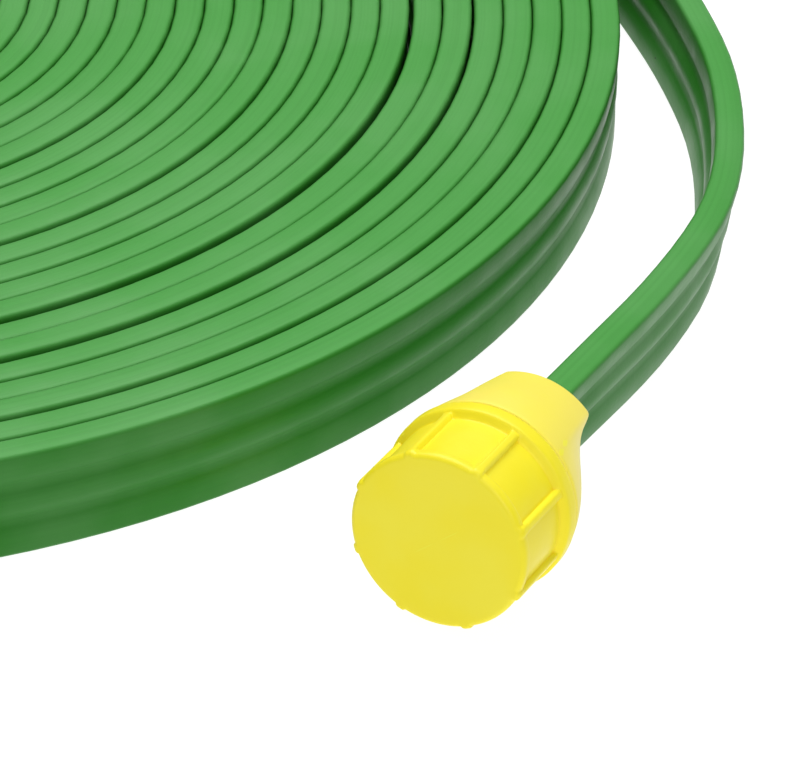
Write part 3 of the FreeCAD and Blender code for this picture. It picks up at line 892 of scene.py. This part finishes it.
def pinhole_mask(tree, along, around, hose):
    """1 in the fine holes that weep water, one row on each lobe of the inner face, else 0.

    The distance to the nearest lobe's top and to the nearest hole along it, both in metres,
    make a circle. Each lobe's row starts a third of the spacing after its neighbour's.
    """
    spacing, hole, perimeter = 75 * MM, 0.22 * MM, 2 * (hose.width + hose.thickness)
    lobe_count, inner_face_middle = 3, 0.75
    lobe = hose.width / lobe_count
    off_middle = calculate(tree, "SUBTRACT", around, inner_face_middle)
    lobes = calculate(tree, "DIVIDE", off_middle, lobe / perimeter)
    nearest = calculate(tree, "ROUND", lobes)
    across = calculate(tree, "MULTIPLY", calculate(tree, "SUBTRACT", lobes, nearest), lobe)
    holes = calculate(tree, "ADD", calculate(tree, "DIVIDE", along, spacing),
                      calculate(tree, "DIVIDE", nearest, lobe_count))
    off_hole = calculate(tree, "SUBTRACT", holes, calculate(tree, "ROUND", holes))
    lengthways = calculate(tree, "MULTIPLY", off_hole, spacing)
    distance = calculate(tree, "SQRT", calculate(
        tree, "ADD", calculate(tree, "POWER", across, 2.0), calculate(tree, "POWER", lengthways, 2.0)))
    inside = calculate(tree, "LESS_THAN", distance, hole)
    on_inner_face = calculate(tree, "LESS_THAN", calculate(tree, "ABSOLUTE", nearest), lobe_count / 2)
    return calculate(tree, "MULTIPLY", inside, on_inner_face)


def hose_material(hose):
    """Extruded green vinyl: fine lines along it, soft patches, painted shade on its wide faces, weep
    holes.

    The painted shade, a deeper green, fades out by the share of the way round from a wide face's middle.
    """
    pale_green, dark_green = (0.3, 0.5, 0.28, 1.0), (0.02, 0.12, 0.015, 1.0)
    hole_green = (0.004, 0.015, 0.004, 1.0)
    pale_share, dark_share, line_height = 0.16, 0.1, 0.5
    line_scale, line_low, line_high = (3.0, 90.0, 1.0), 0.4, 0.7
    deep_until, pale_from = 0.19, 0.212
    material, tree, shader = new_material("hose_green")
    place = object_place(tree)
    route = add_node(tree, "ShaderNodeUVMap", uv_map="Along").outputs["UV"]
    split = add_node(tree, "ShaderNodeSeparateXYZ", {"Vector": route}).outputs
    along, around = split["X"], split["Y"]
    stretched = add_node(tree, "ShaderNodeVectorMath", {0: route, 1: line_scale}, operation="MULTIPLY")
    lines = noise(tree, stretched.outputs["Vector"], 1.0, FINE_DETAIL)
    off_face_middle = calculate(tree, "ABSOLUTE", calculate(tree, "SUBTRACT", calculate(
        tree, "PINGPONG", around, 0.5), 0.25))
    # Painted shade: the wide faces take the deeper green.
    wide_face_shade = calculate(tree, "SUBTRACT", 1.0, ramp(tree, off_face_middle, deep_until, pale_from))
    colour = mix_colours(tree, wide_face_shade, opaque(hose.green), opaque(hose.shade_green))
    pale = mix_colours(tree, pale_share, colour, pale_green)
    patches = patchy(tree, place, scale=38.0, colour=colour, tint=pale, amount=0.5)
    dark = mix_colours(tree, dark_share, patches, dark_green)
    lined = mix_colours(tree, ramp(tree, lines, line_low, line_high), patches, dark)
    holes = pinhole_mask(tree, along, around, hose)
    pierced = mix_colours(tree, holes, lined, hole_green)
    tree.links.new(pierced, shader.inputs["Base Color"])
    grain = add_skin(tree, shader, place, grain=900.0, shiny=0.34, dull=0.42)
    shader.inputs["Specular IOR Level"].default_value = 0.15
    height = calculate(tree, "ADD", calculate(tree, "MULTIPLY", lines, line_height), grain)
    add_bump(tree, shader, height, distance=0.03 * MM)
    return material


def fitting_material(fittings, name, colour):
    """Satin yellow moulded plastic, with painted shade in its recesses and a painted highlight along its
    edges.

    The cap and the nut share one such material, so one that is ready is used again.
    """
    ready = bpy.data.materials.get(name)
    if ready:
        return ready
    painted_highlight_yellow, patch_yellow = (0.96, 0.89, 0.05, 1.0), (0.95, 0.86, 0.06, 1.0)
    material, tree, shader = new_material(name)
    place = object_place(tree)
    # Painted shade in the hollows and a painted highlight along the outer corners.
    painted_shading = use_group(tree, "Painted Shade And Highlight", {
        "Colour": opaque(colour), "Hollow": opaque(fittings.shade_and_patch_yellow),
        "Corner": painted_highlight_yellow})["Colour"]
    patches = patchy(tree, place, scale=70.0, colour=painted_shading, tint=patch_yellow, amount=0.4)
    tree.links.new(patches, shader.inputs["Base Color"])
    grain = add_skin(tree, shader, place, grain=1400.0, shiny=0.34, dull=0.46)
    shader.inputs["Specular IOR Level"].default_value = 0.3
    add_bump(tree, shader, grain, distance=0.025 * MM)
    return material


def connector_material(fittings):
    """The connectors' yellow plastic, a little deeper than the collars' and with flow patches."""
    return plain_moulding(
        "connector_yellow", colour=opaque(fittings.yellow), tint=opaque(fittings.shade_and_patch_yellow),
        patch_scale=160.0, amount=0.6, grain=1800.0, shiny=0.3, dull=0.45, bump=0.02 * MM)


def seal_material():
    """Black rubber with a chalky bloom."""
    return plain_moulding(
        "seal_rubber", colour=(0.012, 0.012, 0.013, 1.0), tint=(0.045, 0.045, 0.048, 1.0),
        patch_scale=400.0, amount=0.8, grain=2500.0, shiny=0.6, dull=0.8, bump=0.04 * MM)


def filter_material():
    """Dark moulded plastic of the inlet's screen."""
    return plain_moulding(
        "filter_plastic", colour=(0.03, 0.03, 0.03, 1.0), tint=(0.07, 0.07, 0.07, 1.0),
        patch_scale=300.0, amount=0.7, grain=2000.0, shiny=0.35, dull=0.55, bump=0.02 * MM)


# Stage

def add_area_light(name, place, aim, size, power):
    """A square soft light at place, pointed at aim.

    Two of its sides lie square to a direction that no light here points along.
    """
    clear_direction = (0.0, 1.0, 0.001)
    data = bpy.data.lights.new(name, "AREA")
    data.size = size
    data.energy = power
    lamp = bpy.data.objects.new(name, data)
    lamp.location = place
    back = unit(np.array(place, float) - np.array(aim, float))
    side = unit(np.cross(clear_direction, back))
    lamp.rotation_mode = "QUATERNION"
    axes = np.stack([side, np.cross(back, side), back], axis=1)
    lamp.rotation_quaternion = Matrix(axes).to_quaternion()
    bpy.context.scene.collection.objects.link(lamp)


def add_camera(stage, middle):
    """The camera at the photograph's viewing angle."""
    data = bpy.data.cameras.new("camera")
    data.lens = stage.lens
    data.sensor_width = 36.0
    data.clip_start, data.clip_end = 0.05, 20.0
    camera = bpy.data.objects.new("camera", data)
    heading, dip, roll = np.radians([stage.heading, stage.dip, stage.roll])
    ahead = np.array([np.cos(heading), np.sin(heading), 0.0])
    level = np.array([np.sin(heading), -np.cos(heading), 0.0])
    forward = ahead * np.cos(dip) - UP * np.sin(dip)
    above = np.cross(level, forward)
    right = level * np.cos(roll) + above * np.sin(roll)
    top = above * np.cos(roll) - level * np.sin(roll)
    camera.rotation_mode = "QUATERNION"
    camera.rotation_quaternion = Matrix(np.stack([right, top, -forward], axis=1)).to_quaternion()
    camera.location = middle + np.array(stage.eye)
    bpy.context.scene.collection.objects.link(camera)
    bpy.context.scene.camera = camera


def add_floor(stage):
    """A plain pale floor under the hose, which glows a little, as on a light table."""
    reach, glow = 4.0, 0.95
    mesh = bpy.data.meshes.new("floor")
    corners = [(-reach, -reach, 0), (reach, -reach, 0), (reach, reach, 0), (-reach, reach, 0)]
    mesh.from_pydata(corners, [], [(0, 1, 2, 3)])
    floor = bpy.data.objects.new("floor", mesh)
    material, _, shader = new_material("floor_white")
    shader.inputs["Base Color"].default_value = opaque(stage.floor_colour)
    shader.inputs["Roughness"].default_value = 0.9
    shader.inputs["Specular IOR Level"].default_value = 0.0
    shader.inputs["Emission Color"].default_value = WHITE
    shader.inputs["Emission Strength"].default_value = glow
    mesh.materials.append(material)
    bpy.context.scene.collection.objects.link(floor)


class HOSE_OT_set_stage(bpy.types.Operator):
    """Sets the camera, the pale floor and the soft studio lights"""

    bl_idname = "soaker.set_stage"
    bl_label = "Set Stage"

    def execute(self, context):
        stage = context.scene.soaker_stage
        middle = coil_middle(context.scene.soaker_hose)
        overhead_place, front_place = middle + (-0.25, 0.25, 1.4), middle + (1.25, -0.75, 0.8)
        front_aim = middle + (0.2, -0.1, 0)
        add_camera(stage, middle)
        add_floor(stage)
        add_area_light("overhead", overhead_place, aim=middle, size=1.5, power=stage.top_power)
        add_area_light("front", front_place, aim=front_aim, size=1.0, power=stage.front_power)
        world = bpy.data.worlds.new("studio")
        world.use_nodes = True
        background = world.node_tree.nodes["Background"].inputs
        background["Color"].default_value = WHITE
        background["Strength"].default_value = stage.haze
        context.scene.world = world
        context.scene.view_settings.view_transform = "Standard"
        return {"FINISHED"}


class HOSE_PT_panel(bpy.types.Panel):
    """Lists the steps that make the hose"""

    bl_label = "Soaker Hose"
    bl_idname = "HOSE_PT_panel"
    bl_space_type = "VIEW_3D"
    bl_region_type = "UI"
    bl_category = "Soaker Hose"

    def draw(self, context):
        for step in STEPS:
            self.layout.operator(step.bl_idname)


STEPS = (HOSE_OT_wind, HOSE_OT_mould_cap, HOSE_OT_mould_nut, HOSE_OT_mould_collars,
         HOSE_OT_finish_inner_parts, HOSE_OT_set_stage)
CLASSES = (HoseSizes, FittingSizes, StageSettings, *STEPS, HOSE_PT_panel)


def register():
    for each in CLASSES:
        bpy.utils.register_class(each)
    bpy.types.Scene.soaker_hose = PointerProperty(type=HoseSizes)
    bpy.types.Scene.soaker_fittings = PointerProperty(type=FittingSizes)
    bpy.types.Scene.soaker_stage = PointerProperty(type=StageSettings)


def unregister():
    del bpy.types.Scene.soaker_stage
    del bpy.types.Scene.soaker_fittings
    del bpy.types.Scene.soaker_hose
    for each in reversed(CLASSES):
        bpy.utils.unregister_class(each)


def main():
    """Registers the add-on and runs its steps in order."""
    register()
    build_soft_patches()
    build_moulded_skin()
    build_painted_shade_and_highlight()
    bpy.ops.soaker.wind_hose()
    bpy.ops.soaker.mould_cap()
    bpy.ops.soaker.mould_nut()
    bpy.ops.soaker.mould_collars()
    bpy.ops.soaker.finish_inner_parts()
    bpy.ops.soaker.set_stage()


if __name__ == "__main__":
    main()
